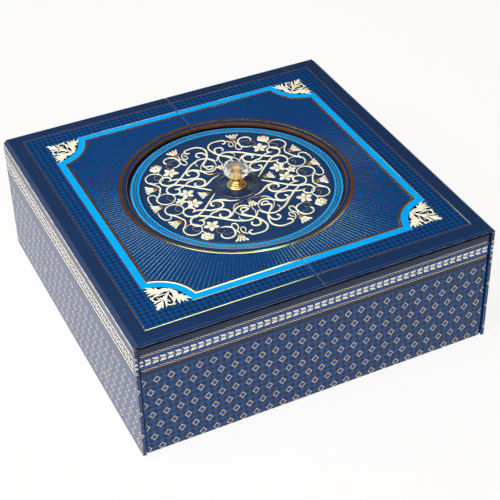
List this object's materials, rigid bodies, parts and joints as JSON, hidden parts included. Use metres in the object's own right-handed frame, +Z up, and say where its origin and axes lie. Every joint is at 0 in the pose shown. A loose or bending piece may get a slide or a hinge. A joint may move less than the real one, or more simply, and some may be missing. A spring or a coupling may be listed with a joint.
{
  "type": "double-door gift box",
  "caption": "Square rigid gift box in printed blue paper, with two hinged top doors around a round lift-off lid that has a crystal knob.",
  "frame": {"origin": "middle of the underside", "axes": "+Z up through the knob, the front towards -Y, the left door at -X"},
  "size_m": [0.283, 0.278, 0.116],
  "materials": {
    "printed_paper": "glossy printed and laminated, navy and royal blue with gold foil",
    "grey_board": "pressed grey board",
    "lining_paper": "matt navy paper",
    "gold_foil": "metallic gold-brown foil paper",
    "brass": "polished",
    "crystal": "clear, cut in flat facets",
    "steel": "plain zinc-plated"
  },
  "bodies": {
    "case": {"base_paper": "lining_paper", "base_board": "grey_board", "floor_paper": "lining_paper", "front_wall": "grey_board", "front_wrap": "printed_paper", "back_wall": "grey_board", "back_wrap": "printed_paper", "tray_left_wall": "grey_board", "tray_right_wall": "grey_board", "left_side_board": "grey_board", "right_side_board": "grey_board", "left_side_wrap": "printed_paper", "right_side_wrap": "printed_paper", "deck_board": "grey_board", "deck_paper": "lining_paper", "front_riser": "grey_board", "back_riser": "grey_board", "left_riser": "grey_board", "right_riser": "grey_board", "front_rest": "lining_paper", "back_rest": "lining_paper", "well_wall": "grey_board"},
    "left_door": {"left_door_board": "grey_board", "left_door_wrap": "printed_paper", "left_door_liner": "lining_paper", "left_cutout_edging": "gold_foil", "left_hinge_strip": "printed_paper"},
    "right_door": {"right_door_board": "grey_board", "right_door_wrap": "printed_paper", "right_door_liner": "lining_paper", "right_cutout_edging": "gold_foil", "right_hinge_strip": "printed_paper"},
    "lid": {"lid_board": "grey_board", "lid_wrap": "printed_paper", "lid_liner": "lining_paper", "lid_plug": "grey_board", "knob_base": "brass", "knob_collar": "brass", "knob_post": "brass", "knob_crystal": "crystal", "knob_screw": "steel", "knob_washer": "steel"}
  },
  "joints": [
    {"name": "left_door_hinge", "type": "hinge", "parent": "case", "child": "left_door", "pos_m": [-0.1415, 0, 0.0987], "axis": [0, -1, 0], "range_deg": [0, 210]},
    {"name": "right_door_hinge", "type": "hinge", "parent": "case", "child": "right_door", "pos_m": [0.1415, 0, 0.0987], "axis": [0, 1, 0], "range_deg": [0, 210]},
    {"name": "lid_lift", "type": "slide", "parent": "case", "child": "lid", "axis": [0, 0, 1], "range_m": [0, 0.12]}
  ]
}
